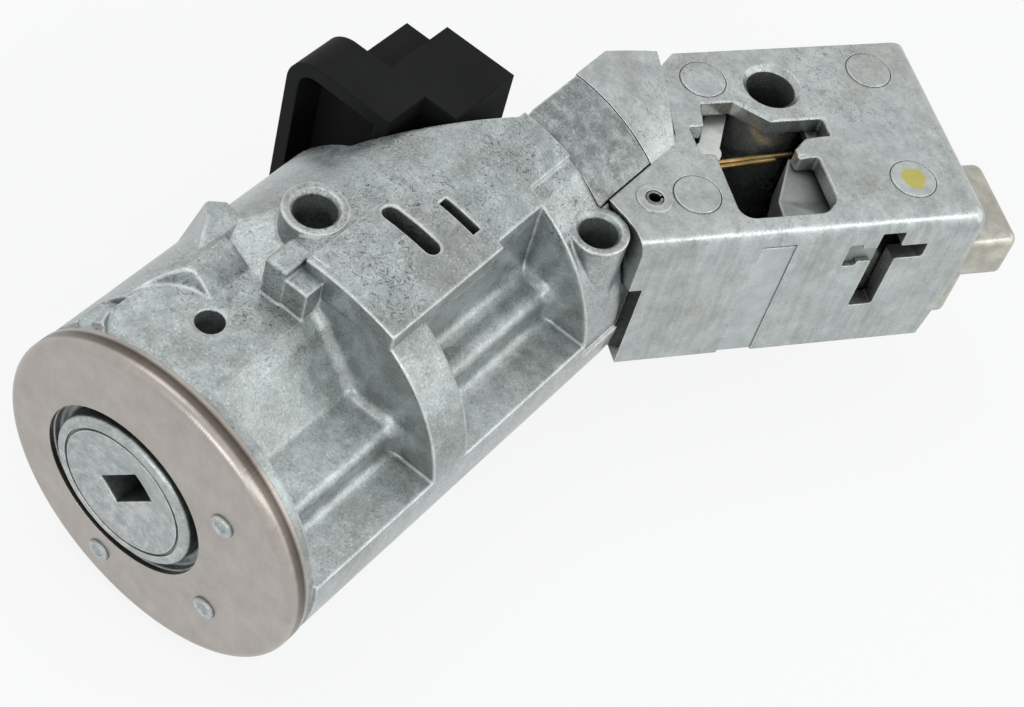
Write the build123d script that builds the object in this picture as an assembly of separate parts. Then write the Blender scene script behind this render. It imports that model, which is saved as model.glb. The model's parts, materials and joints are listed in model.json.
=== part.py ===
"""Ignition switch with a steering lock: key barrel, slanted lock box with a sliding bolt, contact block.

Frame: millimetres, +Z up. The origin is the middle of the cover ring's front face.
+Y runs along the key barrel from the ring to the rear, +X is the side the lock box leans towards.
"""
import math
import os

from build123d import *

# Lock box direction and barrel
BOX_TURN = 54.0          # turn about Z that lays local X along the lock box
LEAN = math.radians(90.0 - BOX_TURN)
BARREL_R = 26.8
BARREL_START = 4.0
BARREL_END = 90.0
CAST_WALL = 3.2
CAVITY_R = BARREL_R - CAST_WALL
CAVITY_START = 35.0
SEAM_GAP = 0.3           # seam between two castings of one body

# Cover ring, a pressed cap over the barrel's nose
RING_LIP = 0.2           # how far the ring stands over the barrel
RING_R = BARREL_R + RING_LIP
RING_DEPTH = 3.5
RING_SHEET = 0.8
RING_ROUND = 1.5
RING_HOLE_R = 14.4
COLLAR_FLOOR_Y = 2.2     # depth of the casting's collar inside the ring's hole
NOSE_R = RING_R - RING_SHEET - 0.05
NOSE_START = RING_SHEET + 0.05
RIVET_R = 1.6
RIVET_HEAD_R = 1.9
RIVET_HEAD_H = 0.45
RIVET_DEPTH = 4.0

# Lock axis and the turning parts on it
LOCK_X = -4.3
LOCK_Z = -0.95
ROTOR_FACE_R = 12.7
ROTOR_FACE_START = -0.4
ROTOR_RIM_ROUND = 0.8
ROTOR_FACE_END = 5.2
FACE_CLEAR = 0.08
FACE_SEAT_END = ROTOR_FACE_END + 0.3
DISH_R = 11.0
DISH_DEPTH = 1.1
GROOVE_W = 0.5
GROOVE_DEPTH = 0.4
KEYWAY_LEN = 9.3
KEYWAY_W = 4.6
KEYWAY_STEP = 6.0
SLOT_LEN = 8.4
SLOT_W = 2.8
SLOT_END = 40.0
KEYWAY_TURN = 48.0
PLUG_R = 8.0
PLUG_CLEAR = 0.04
SLEEVE_WALL = 3.0
SLEEVE_R = PLUG_R + PLUG_CLEAR + SLEEVE_WALL
SLEEVE_START = FACE_SEAT_END + 0.3
SLEEVE_END = 43.0
CLIP_SEAT = 43.4
BORE_R = SLEEVE_R + 0.02
PLUG_NECK_R = 5.0
PLUG_NECK_END = 50.0
CLIP_W = 1.0
CLIP_R = 9.6
CLIP_GROOVE_R = 6.5

# Wafers across the plug, each on its own spring
WAFER_COUNT = 8
WAFER_PITCH = 3.6
WAFER_FIRST = 12.0
WAFER_T = 1.0
WAFER_W = 7.0
WAFER_GAP = 0.1
WAFER_WINDOW_W = 5.2
WAFER_TIP_R = PLUG_R - 0.15

# Drive cam with the crank stud that moves the bolt and turns the contact drum
STROKE = 11.0
KEY_TURN = 90.0
CRANK_R = STROKE * math.sin(LEAN) / (2.0 * math.sin(math.radians(KEY_TURN / 2.0)))
CAM_START = 46.2
CAM_END = 55.0
CAM_R = 7.2
STUD_R = 2.0
STUD_END = 80.0
STUD_ROOM = 0.8
STUD_ANGLE = 90.0 + KEY_TURN / 2.0
STUD_X = LOCK_X + CRANK_R * math.sin(math.radians(STUD_ANGLE))
STUD_Z = LOCK_Z + CRANK_R * math.cos(math.radians(STUD_ANGLE))

# Lock box casting, measured in its own frame: U along the box, W across it, Z up
BOX_TOP = 20.0
BOX_BOTTOM = -10.0
BOX_NEAR = 23.6
HOLE_D_U = 108.8
HOLE_D_W = 53.6
HOLE_D_R = 4.05
HOLE_D_POST_R = 7.0
HOLE_D_CHAMFER = 0.9
FAR_MARGIN = 1.2         # cast metal between hole D's post and the far side
BOX_FAR = HOLE_D_W + HOLE_D_POST_R + FAR_MARGIN
BOX_START = 77.6
BOX_FAR_START = 90.0
BOX_END = 137.0
BOX_ROUND = 3.6
BOX_WALL = 3.0
BOX_FLOOR_T = 1.1
BOX_NOTCH_START = 79.8
BOX_NOTCH_TOP = 8.3
BOX_CORNER = 2.6
HUMP_STEP = 0.3
HUMP_R = BARREL_R - HUMP_STEP
HUMP_END = 88.2
HUMP_INSET = 4.9         # the collar stops this far inside the box's far side
HUMP_FAR = BOX_FAR - HUMP_INSET
HUMP_EDGE_X = 0.6
SEAM_X = 17.4
SEAM_Y = 79.0
STRIP_START = 97.6
STRIP_END = 103.6
STRIP_DEPTH = 0.5

# Window in the top of the lock box
WIN_LEFT = 94.4
WIN_RIGHT = 111.3
WIN_NEAR = BOX_NEAR + 3.2
WIN_MID = WIN_NEAR + 11.2
WIN_FAR = BOX_FAR - 11.0
WIN_FAR_RIGHT = 101.0
WIN_ARM_RIGHT = 115.0
WIN_ARM_NEAR = 42.1
WIN_ARM_FAR = 46.1
WIN_ARM_START = 106.0
WIN_NOTCH_LEFT = 91.9
WIN_NOTCH_NEAR = 40.1
WIN_STEP_RIGHT = 108.0
WIN_ROUND = 0.5
WIN_CORNER = 2.4
WIN_CHAMFER = 0.3

# Cross-shaped opening in the near side wall
CROSS_U = 120.2
CROSS_Z = 12.5
CROSS_BAR_LEN = 14.0
CROSS_BAR_H = 3.2
CROSS_POST_W = 4.2
CROSS_POST_TOP = 17.2
CROSS_POST_LOW = -0.5
CROSS_KNOB_W = 2.4
CROSS_KNOB_H = 5.0
CROSS_ROUND = 0.4
LEAN_BACK = 2.9          # how far the side wall's end leans back at the bottom

# Staked posts, mounting holes and pin of the lock box
STAKE_R = 3.8
STAKE_STEM_R = 2.4
STAKE_FOOT = 0.2         # how far a stake's stem stands below what it holds
STAKE_PROUD = 0.15
STAKE_HOLE_R = STAKE_R + 0.12
STAKE_FAR_W = BOX_FAR - 6.0
STAKE_NEAR_W = BOX_NEAR + 8.5
STAKES = {"1": (97.4, STAKE_FAR_W), "2": (BOX_END - 10.0, STAKE_FAR_W),
          "3": (88.5, STAKE_NEAR_W), "4": (BOX_END - 11.3, STAKE_NEAR_W)}
PIN_U = 81.3
PIN_W = BOX_NEAR + 8.3
PIN_R = 1.5
PIN_BORE_R = 0.95
PIN_SLIT = 0.5
PIN_BOTTOM = 8.4
PIN_TOP = 20.3
PIN_BOSS_R = 2.9
PIN_BOSS_H = 0.3

# Guide plate under the top of the lock box
PLATE_TOP = BOX_TOP - BOX_WALL - 0.05
PLATE_T = 1.4
PLATE_START = 112.8
PLATE_ROUND = 2.0
PLATE_END = 131.0
PLATE_INSET = 0.5        # gap between the guide plate and the side walls
PLATE_NEAR = BOX_NEAR + BOX_WALL + PLATE_INSET
PLATE_FAR = BOX_FAR - BOX_WALL - PLATE_INSET

# Bolt, slider and their spring
BOLT_GAP = 0.3
BOLT_W = 17.6
BOLT_NEAR = BOX_NEAR + BOX_WALL + BOLT_GAP
BOLT_FAR = BOLT_NEAR + BOLT_W
BOLT_BACK = 118.0
BOLT_TIP = BOX_END + STROKE
BOLT_STEP_TIP = BOLT_TIP - 7.0
BOLT_TOP = 8.9
BOLT_MID = 0.7
BOLT_LOW = BOX_BOTTOM + BOX_FLOOR_T + BOLT_GAP
BOLT_ROUND = 2.0
ROD_W = 4.4
ROD_NEAR = BOLT_NEAR + 4.1
ROD_FAR = ROD_NEAR + ROD_W
ROD_GAP = 0.8
ROD_LOW = -6.6
ROD_TOP = -1.6
YOKE_Y = 68.0
YOKE_T = 2.0
YOKE_LOW = -9.9
YOKE_TOP = -0.9
YOKE_WALL = 1.4
SLOT_CLEAR = 0.3
YOKE_X0 = STUD_X - STUD_R - SLOT_CLEAR - YOKE_WALL
YOKE_X1 = 10.0
BOLT_SPRING_R = 3.2
BOLT_SPRING_WIRE = 0.9
BOLT_SPRING_GAP = 1.15   # between the rod and the spring beside it
BOLT_SPRING_W = ROD_FAR + BOLT_SPRING_GAP + BOLT_SPRING_R + BOLT_SPRING_WIRE / 2
BOLT_SPRING_Z = -2.6
BOLT_SPRING_START = 99.0
BOLT_SPRING_TURNS = 7
STOP_RIB_T = 2.4

# Blocking lever on the roll pin and its wire spring
LEVER_T = 2.2
LEVER_LOW = 13.6
LEVER_R = 3.4
LEVER_W = 3.4
LEVER_END_U = 95.6
LEVER_END_W = 44.2
LEVER_TIP_U = 99.6
LEVER_TIP_W = BOX_FAR - 9.8
WIRE_R = 0.45
COIL_R = 2.5
COIL_TURNS = 2.85
COIL_PITCH = 1.05
COIL_LOW = 9.0
WIRE_LEG_Z = 12.2
WIRE_KNEE_U = 98.4
WIRE_KNEE_W = 44.9
WIRE_LEG_END_U = 112.0
WIRE_LEG_W = WIRE_KNEE_W + 0.7
WIRE_ANCHOR_U = 108.5

# Leaning rib and sloping ledge seen through the window
RIB_FOOT_U = 102.0
RIB_FOOT_W = 31.6
RIB_TOP_U = 109.4
RIB_TOP_W = 41.9
RIB_T = 1.6
RIB_Z = 16.6
LEDGE_LOW = 9.4
LEDGE_TOP = 15.4
LEDGE_FAR_TOP = 10.2
LEDGE_END_U = 112.3

# Deck, pockets and raised parts of the barrel
DECK_Z = 20.0
RIM_LEFT = 0.3
DECK_EDGE_X = 1.5
DECK_EDGE_REAR_X = -6.2
DECK_FRONT_END = 27.0
DECK_REAR_END = 28.5
RAMP_END = 46.0
POCKET_FLOOR_Z = 3.0
SHELF_Z = 9.3
SHELF_X = 18.5
POCKET_A_START = 5.4
POCKET_A_END = 30.6
POCKET_A_SLOPE_X = 3.5
POCKET_A_SLOPE_Z = 18.3
POCKET_A_FOOT_X = 10.3
POCKET_B_START = 38.0
POCKET_B_END = 67.0
POCKET_B_X = 12.6
POCKET_ROUND = 2.2
PLATFORM_START = 31.6
PLATFORM_END = 52.6
PLATFORM_X0 = -2.0
PLATFORM_X1 = 13.6
PLATFORM_RISE = 0.5
SLOT_A_Y = 46.0
SLOT_A_X0 = 0.3
SLOT_A_X1 = 7.9
SLOT_A_W = 2.9
SLOT_B_Y = 53.5
SLOT_B_X0 = 3.6
SLOT_B_X1 = 10.4
SLOT_B_W = 1.9
HOLE_A_X = -6.9
HOLE_A_Y = 17.5
HOLE_A_R = 2.2
HOLE_A_DEPTH = 6.0
HOLE_B_X = -7.6
HOLE_B_Y = 38.8
HOLE_B_R = 3.3
HOLE_B_DEPTH = 12.0
BOSS_B_R = 4.95
BOSS_CHAMFER = 0.55
BOSS_B_TOP = 26.9
HOLE_C_X = 19.9
HOLE_C_Y = 73.3
HOLE_C_R = 3.1
HOLE_C_DEPTH = 15.0
BOSS_C_R = 4.7
BOSS_C_TOP = BOX_TOP - 0.5
LUG_X = 9.8
LUG_START = 67.4
LUG_STEP = 0.6
LUG_SLOPE_X = 12.0       # the lug's face leaves the barrel's curve here and falls to hole C's boss
LUG_SLOPE_Z = math.sqrt((BARREL_R - LUG_STEP) ** 2 - LUG_SLOPE_X ** 2)
LUG_FLAT_X = HOLE_C_X - BOSS_C_R + 1.4
PAD_X0 = -6.2            # small raised pad in front of boss B, and the lower step beside it
PAD_X1 = -2.4
PAD_Y0 = 26.7
PAD_Y1 = 32.5
PAD_TOP = 27.0
PAD_ROUND = 0.5
STEP_Z = 25.3
STEP_END = 31.2
SHOULDER_X = -9.5        # the deck rises to the left of this line, round a scooped flat
SHOULDER_Y = 12.2
SHOULDER_R = 8.2
SHOULDER_DRAFT = 0.5
SHOULDER_RISE_X = -13.2
SHOULDER_TOP = 22.4
NICK_R = 3.8
NICK_X = -17.4
NICK_Y = 8.4
NICK_Z = 17.2
FIN_Y1 = 33.6
FIN_OUTLINE = ((-26.2, 6.0), (-22.4, 19.6), (-17.6, 23.4), (-14.6, 20.4), (-15.0, 8.0))
FIN_FOOT = (-15.9, 24.3, 21.4)       # the edge between the fin's two front faces runs from here
FIN_PEAK = (-19.4, 29.8, 22.0)       # to here
FIN_LEFT = (-26.0, 31.0, 7.0)
FIN_RIGHT = (-15.6, 30.4, 21.6)

# Cut at the rear left of the barrel where the contact block sits
CUT_START = 55.0
CUT_W = 44.0
CUT_X = 0.5
REAR_X = 0.6

# Curved collar plate on the rear of the barrel
COLLAR_START = 77.0
COLLAR_T = 2.2
COLLAR_R = HUMP_R
COLLAR_SEAT_R = COLLAR_R - COLLAR_T
COLLAR_GAP = 0.25
COLLAR_BEVEL = 1.3

# Contact block on the rear left
HOOD_X0 = -31.3
HOOD_X1 = -11.8
HOOD_Y0 = 60.0
HOOD_Y1 = 68.8
HOOD_TOP = 26.2
HOOD_LOW = -21.0
HOOD_WALL = 2.4
HOOD_ROUND = 5.5
BLOCK_X0 = -19.1
BLOCK_X1 = -5.7
BLOCK_Y1 = 82.4
BLOCK_TOP = 26.2
BLOCK_LOW = -16.0
BLOCK_WALL = 1.8
PLUG_X0 = -24.6
PLUG_Y1 = 79.6
PLUG_TOP = 24.6
PLUG_LOW = -16.0
DRUM_R = 8.6
DRUM_START = 72.6
DRUM_END = 82.0
DRUM_CLEAR = 0.08
DRUM_HOLE_CLEAR = 0.05
DRUM_CASE_R = 11.2
DRUM_CASE_START = 71.4
DRUM_CASE_END = 86.0
DRUM_AXLE_R = 2.4
DRUM_AXLE_END = 84.6
CONTACT_T = 0.6
CONTACT_W = 2.4
CONTACT_YS = (74.2, 78.2)
TERMINAL_COUNT = 5
TERMINAL_W = 2.8
TERMINAL_T = 0.8
TERMINAL_PITCH = 5.6
TERMINAL_X = -20.8
TERMINAL_FIRST_Z = 15.6
TERMINAL_START = 72.0
TERMINAL_ROOT = 69.4
TERMINAL_END = 78.6

BIG = 90.0               # longer than any part, for cutting shapes


def rod(x, z, radius, y0, y1):
    """A round bar along Y."""
    return Pos(x, (y0 + y1) / 2.0, z) * Rot(90, 0, 0) * Cylinder(radius, y1 - y0)


def post(x, y, radius, z0, z1):
    """An upright round bar."""
    return Pos(x, y, (z0 + z1) / 2.0) * Cylinder(radius, z1 - z0)


def block(x0, x1, y0, y1, z0, z1):
    """A box between two corners."""
    return Pos((x0 + x1) / 2.0, (y0 + y1) / 2.0, (z0 + z1) / 2.0) * Box(x1 - x0, y1 - y0, z1 - z0)


def boxed(shape):
    """Lay a shape drawn in the lock box's frame into the part's frame."""
    return Rot(0, 0, BOX_TURN) * shape


def upright(points, z0, z1):
    """A prism over a plan outline."""
    return extrude(Pos(0, 0, z0) * make_face(Polyline(*points, close=True)), amount=z1 - z0, dir=(0, 0, 1))


def along_y(points, y0, y1):
    """A prism along Y over an outline given as X and Z."""
    outline = [(x, y0, z) for x, z in points]
    return extrude(make_face(Polyline(*outline, close=True)), amount=y1 - y0, dir=(0, 1, 0))


def plan_u(x, y):
    """How far along the lock box a plan point lies."""
    return x * math.sin(LEAN) + y * math.cos(LEAN)


def half_ring(radius_out, radius_in, y0, y1):
    """A tube along Y round the barrel's axis."""
    return rod(0, 0, radius_out, y0, y1) - rod(0, 0, radius_in, y0 - 1, y1 + 1)


def edges_near(shape, axis_direction):
    """The straight edges that run along a direction."""
    return shape.edges().filter_by(axis_direction)


def spring(radius, wire, pitch, height):
    """A coil of round wire rising along Z from its own origin."""
    path = Helix(pitch=pitch, height=height, radius=radius)
    section = Plane(origin=path @ 0, z_dir=path % 0) * Circle(wire / 2.0)
    return sweep(section, path=path)


def cover_ring():
    cap = rod(0, 0, RING_R, 0, RING_DEPTH)
    cap = fillet(cap.faces().sort_by(Axis.Y)[0].edges(), RING_ROUND)
    cap -= rod(0, 0, RING_R - RING_SHEET, RING_SHEET, RING_DEPTH + 1)
    cap -= rod(LOCK_X, LOCK_Z, RING_HOLE_R, -1, RING_DEPTH)
    for x, z in COVER_RIVETS.values():
        cap -= rod(x, z, RIVET_R + 0.05, -1, RING_DEPTH)
    return cap


def cover_rivet(x, z):
    head = rod(x, z, RIVET_HEAD_R, -RIVET_HEAD_H, -0.02)
    head = fillet(head.faces().sort_by(Axis.Y)[0].edges(), RIVET_HEAD_H * 0.7)
    dimple = rod(x, z, RIVET_HEAD_R * 0.55, -RIVET_HEAD_H - 1, -RIVET_HEAD_H * 0.45)
    return head + rod(x, z, RIVET_R, -0.1, RIVET_DEPTH) - dimple


COVER_RIVETS = {"1": (-7.4, -19.6), "2": (13.2, 9.7), "3": (12.7, -12.0)}


def barrel_cut():
    """What the contact block's seat takes from the rear left of the barrel."""
    start_x = (CUT_START * math.sin(LEAN) - CUT_W) / math.cos(LEAN)
    turn_y = (CUT_W + CUT_X * math.cos(LEAN)) / math.sin(LEAN)
    outline = [(-BIG, CUT_START), (start_x, CUT_START), (CUT_X, turn_y), (CUT_X, BIG * 2), (-BIG, BIG * 2)]
    return upright(outline, -BIG, BIG)


def lock_side(margin):
    """The space the lock box takes beside the barrel, grown by a seam."""
    outline = offset(make_face(Polyline(*box_outline(), close=True)), amount=margin, kind=Kind.INTERSECTION)
    return extrude(Pos(0, 0, BOX_BOTTOM - margin) * outline, amount=BIG)


def slider_lane():
    """Room inside the castings for the slider through its whole stroke."""
    start = plan_u(YOKE_X0, YOKE_Y - YOKE_T / 2) - STROKE - ROD_GAP
    stop = plan_u(YOKE_X1, YOKE_Y + YOKE_T / 2) + ROD_GAP
    low = YOKE_LOW - ROD_GAP
    top = YOKE_TOP + ROD_GAP
    lane = boxed(block(start, BOX_START + BOX_WALL, ROD_NEAR - ROD_GAP, CUT_W - CAST_WALL, low, top))
    lane += boxed(block(start, stop, ROD_NEAR - ROD_GAP, CUT_W + CAST_WALL + ROD_GAP, low, top))
    return lane


def deck_outline(edge_x):
    """What is cut away over the deck, from its edge to the risen shoulder at the left."""
    return [(edge_x, BIG), (edge_x, DECK_Z), (SHOULDER_X, DECK_Z), (SHOULDER_RISE_X, SHOULDER_TOP),
            (-BIG, SHOULDER_TOP), (-BIG, BIG)]


def countersink(x, y, z, radius, depth):
    """The bevel at the mouth of an upright hole whose face is at height Z."""
    return Pos(x, y, z) * Cone(radius, radius + depth * 2, depth * 2)


def fin_rib():
    """The wedge-shaped fin on the deck's left side, cut to its two slanted front faces."""
    fin = along_y(FIN_OUTLINE, FIN_FOOT[1], FIN_Y1)
    foot = Vector(*FIN_FOOT)
    ridge = Vector(*FIN_PEAK) - foot
    for corner in (FIN_LEFT, FIN_RIGHT):
        normal = ridge.cross(Vector(*corner) - foot)
        if normal.Y < 0:
            normal = -normal
        fin = split(fin, bisect_by=Plane(origin=FIN_FOOT, z_dir=normal), keep=Keep.TOP)
    return fin


def soft_pocket(cutter):
    """Rounds a pocket's long corners and the foot of its rear wall, as a die casting has them."""
    rear = cutter.faces().sort_by(Axis.Y)[-1].edges()
    foot = [e for e in rear if e.center().X < BARREL_R + 6 and e.center().Z < DECK_Z + 6]
    corners = [e for e in edges_near(cutter, Axis.Y) if e.center().X < BARREL_R and e.center().Z < DECK_Z - 1]
    return fillet(foot + corners, POCKET_ROUND)


def main_housing():
    body = rod(0, 0, NOSE_R, NOSE_START, POCKET_A_START) + rod(0, 0, BARREL_R, POCKET_A_START, BARREL_END)
    shell = half_ring(BARREL_R + PLATFORM_RISE, BARREL_R - 1, PLATFORM_START, PLATFORM_END)
    body += shell & block(PLATFORM_X0, PLATFORM_X1, PLATFORM_START, PLATFORM_END, 0, BIG)
    # Flat deck at the top left, rising to the crown at the rear
    body -= along_y(deck_outline(DECK_EDGE_X), BARREL_START, DECK_FRONT_END)
    body -= along_y(deck_outline(DECK_EDGE_REAR_X), DECK_FRONT_END - 1, DECK_REAR_END)
    rise = SHOULDER_TOP - DECK_Z + 2
    scoops = Pos(SHOULDER_X, SHOULDER_Y, DECK_Z + rise / 2) * Cone(
        SHOULDER_R, SHOULDER_R + SHOULDER_DRAFT * rise, rise)
    scoops += post(NICK_X, NICK_Y, NICK_R, NICK_Z, BIG) & block(-BIG, NICK_X, 0, BIG, 0, BIG)
    body -= scoops & block(-BIG, 0, BARREL_START + RIM_LEFT, BIG, 0, BIG)
    ramp = [(DECK_REAR_END, DECK_Z), (RAMP_END, BARREL_R), (RAMP_END, BIG), (DECK_REAR_END, BIG)]
    side = [(-BIG, y, z) for y, z in ramp]
    body -= extrude(make_face(Polyline(*side, close=True)), amount=BIG + DECK_EDGE_REAR_X, dir=(1, 0, 0))
    # Stepped pockets on the near side
    pocket_a = [(DECK_EDGE_X, BIG), (DECK_EDGE_X, DECK_Z), (POCKET_A_SLOPE_X, POCKET_A_SLOPE_Z),
                (POCKET_A_FOOT_X, SHELF_Z), (SHELF_X, SHELF_Z), (SHELF_X, POCKET_FLOOR_Z),
                (BIG, POCKET_FLOOR_Z), (BIG, BIG)]
    cutter = along_y(pocket_a, POCKET_A_START, POCKET_A_END)
    body -= soft_pocket(cutter)
    pocket_b = [(POCKET_B_X, BIG), (POCKET_B_X, SHELF_Z), (SHELF_X, SHELF_Z),
                (SHELF_X, POCKET_FLOOR_Z), (BIG, POCKET_FLOOR_Z), (BIG, BIG)]
    cutter = along_y(pocket_b, POCKET_B_START, POCKET_B_END)
    body -= soft_pocket(cutter)
    # Contact block seat, then the lug face with hole C
    body -= barrel_cut()
    body -= half_ring(BIG, BARREL_R - LUG_STEP, LUG_START, BARREL_END) & block(LUG_X, BIG, 0, BIG * 2, 0, BIG)
    lug_face = [(LUG_SLOPE_X, BIG), (LUG_SLOPE_X, LUG_SLOPE_Z), (LUG_FLAT_X, BOSS_C_TOP), (BIG, BOSS_C_TOP),
                (BIG, BIG)]
    body -= along_y(lug_face, LUG_START, BARREL_END)
    body += post(HOLE_C_X, HOLE_C_Y, BOSS_C_R, 0, BOSS_C_TOP)
    # Hollow inside, closed in front by the web that carries the lock sleeve
    cavity = rod(0, 0, CAVITY_R, CAVITY_START, BARREL_END + 1)
    cavity -= block(POCKET_B_X - CAST_WALL, BIG, 0, POCKET_B_END + CAST_WALL, POCKET_FLOOR_Z - CAST_WALL, BIG)
    cavity -= block(-BIG, BIG, 0, RAMP_END, DECK_Z - CAST_WALL, BIG)
    cavity -= block(-BIG, BIG, 0, BIG * 2, BOX_TOP - 1.0, BIG)
    cavity -= barrel_cut().moved(Location((CAST_WALL * math.cos(LEAN), -CAST_WALL * math.sin(LEAN), 0)))
    cavity -= post(HOLE_C_X, HOLE_C_Y, BOSS_C_R, 0, BOX_TOP)
    cavity -= post(HOLE_B_X, HOLE_B_Y, BOSS_B_R, LOCK_Z + SLEEVE_R + 2.0, BIG)
    body -= cavity
    body += half_ring(BARREL_R, CAVITY_R - 0.1, BARREL_END - 12, BARREL_END) & block(
        REAR_X, BIG, 0, BIG, -BIG, -16.0)
    # Lock bore, rotor face seat, cam room and slider lane
    body -= rod(LOCK_X, LOCK_Z, ROTOR_FACE_R + FACE_CLEAR, -1, FACE_SEAT_END)
    body -= rod(LOCK_X, LOCK_Z, RING_HOLE_R - 0.1, -1, COLLAR_FLOOR_Y)
    body -= rod(LOCK_X, LOCK_Z, BORE_R, FACE_SEAT_END - 1, CAVITY_START + 1)
    body -= slider_lane()
    # Raised boss, fin, and the small pad and step in front of the boss
    body += post(HOLE_B_X, HOLE_B_Y, BOSS_B_R, DECK_Z - 6, BOSS_B_TOP)
    body += fin_rib()
    body -= block(PAD_X1, DECK_EDGE_X, DECK_FRONT_END - 1, STEP_END, STEP_Z, BIG)
    pad = block(PAD_X0, PAD_X1, PAD_Y0, PAD_Y1, DECK_Z, PAD_TOP)
    body += fillet(pad.faces().sort_by(Axis.Z)[-1].edges() + edges_near(pad, Axis.Z), PAD_ROUND)
    # Rooms for the cam and for the contact drum's case
    body -= rod(LOCK_X, LOCK_Z, CAM_R + 0.4, CAVITY_START, CAM_END + 0.6)
    body -= rod(LOCK_X, LOCK_Z, DRUM_CASE_R + SEAM_GAP, DRUM_CASE_START - SEAM_GAP, BARREL_END + 1)
    # Seats of the neighbours
    body -= lock_side(SEAM_GAP)
    seat = half_ring(BIG, COLLAR_SEAT_R, COLLAR_START, BARREL_END + 1)
    body -= seat & block(-BIG, SEAM_X, COLLAR_START, BARREL_END + 1, 0, BIG)
    # Holes and slots
    body -= post(HOLE_A_X, HOLE_A_Y, HOLE_A_R, DECK_Z - HOLE_A_DEPTH, BIG)
    body -= post(HOLE_B_X, HOLE_B_Y, HOLE_B_R, BOSS_B_TOP - HOLE_B_DEPTH, BIG)
    body -= countersink(HOLE_B_X, HOLE_B_Y, BOSS_B_TOP, HOLE_B_R, BOSS_CHAMFER)
    body -= post(HOLE_C_X, HOLE_C_Y, HOLE_C_R, BOSS_C_TOP - HOLE_C_DEPTH, BIG)
    body -= countersink(HOLE_C_X, HOLE_C_Y, BOSS_C_TOP, HOLE_C_R, BOSS_CHAMFER)
    slot_low = LOCK_Z + SLEEVE_R + 1.0
    body -= block(SLOT_A_X0, SLOT_A_X1, SLOT_A_Y - SLOT_A_W / 2, SLOT_A_Y + SLOT_A_W / 2, slot_low, BIG)
    body -= post(SLOT_A_X0, SLOT_A_Y, SLOT_A_W / 2, slot_low, BIG)
    body -= post(SLOT_A_X1, SLOT_A_Y, SLOT_A_W / 2, slot_low, BIG)
    body -= block(SLOT_B_X0, SLOT_B_X1, SLOT_B_Y - SLOT_B_W / 2, SLOT_B_Y + SLOT_B_W / 2, slot_low, BIG)
    for x, z in COVER_RIVETS.values():
        body -= rod(x, z, RIVET_R + 0.02, 0, RIVET_DEPTH + 0.3)
    return body


def box_outline():
    """The lock box in plan: its slanted sides and the stepped seam with the barrel."""
    def at(u, w):
        return (u * math.sin(LEAN) - w * math.cos(LEAN), u * math.cos(LEAN) + w * math.sin(LEAN))
    corner = at(BOX_START, BOX_NEAR)
    hump_corner_y = (HUMP_END - HUMP_EDGE_X * math.sin(LEAN)) / math.cos(LEAN)
    return [corner, at(BOX_END, BOX_NEAR), at(BOX_END, BOX_FAR),
            at(BOX_FAR_START + BOX_CORNER + 1.4, BOX_FAR), at(BOX_FAR_START + 1.2, BOX_FAR - BOX_CORNER),
            at(HUMP_END + 0.6, CUT_W), (HUMP_EDGE_X + 10, hump_corner_y - 8), (SEAM_X, BARREL_END),
            (SEAM_X, SEAM_Y)]


def window_outline():
    return [(WIN_LEFT, WIN_NEAR), (WIN_STEP_RIGHT + 0.6, WIN_NEAR), (WIN_RIGHT, WIN_NEAR + 2.4),
            (WIN_RIGHT, WIN_MID), (WIN_STEP_RIGHT, WIN_MID), (WIN_STEP_RIGHT, WIN_MID + 2.0),
            (WIN_RIGHT - 0.7, WIN_ARM_NEAR), (WIN_ARM_RIGHT, WIN_ARM_NEAR), (WIN_ARM_RIGHT, WIN_ARM_FAR),
            (WIN_ARM_START, WIN_ARM_FAR), (WIN_FAR_RIGHT, WIN_FAR), (WIN_LEFT + 1.0, WIN_FAR),
            (WIN_LEFT, WIN_ARM_FAR), (WIN_NOTCH_LEFT, WIN_ARM_FAR), (WIN_NOTCH_LEFT, WIN_NOTCH_NEAR),
            (WIN_LEFT, WIN_NOTCH_NEAR)]


def cavity_outline(shrink):
    step_u = BOX_FAR_START + CAST_WALL + 1.2
    return [(BOX_START + BOX_WALL + shrink, BOX_NEAR + BOX_WALL + shrink),
            (BOX_END - BOX_WALL - shrink, BOX_NEAR + BOX_WALL + shrink),
            (BOX_END - BOX_WALL - shrink, BOX_FAR - BOX_WALL - shrink),
            (step_u + shrink, BOX_FAR - BOX_WALL - shrink),
            (step_u + shrink, CUT_W + CAST_WALL - shrink),
            (BOX_START + BOX_WALL + shrink, CUT_W + CAST_WALL - shrink)]


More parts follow.
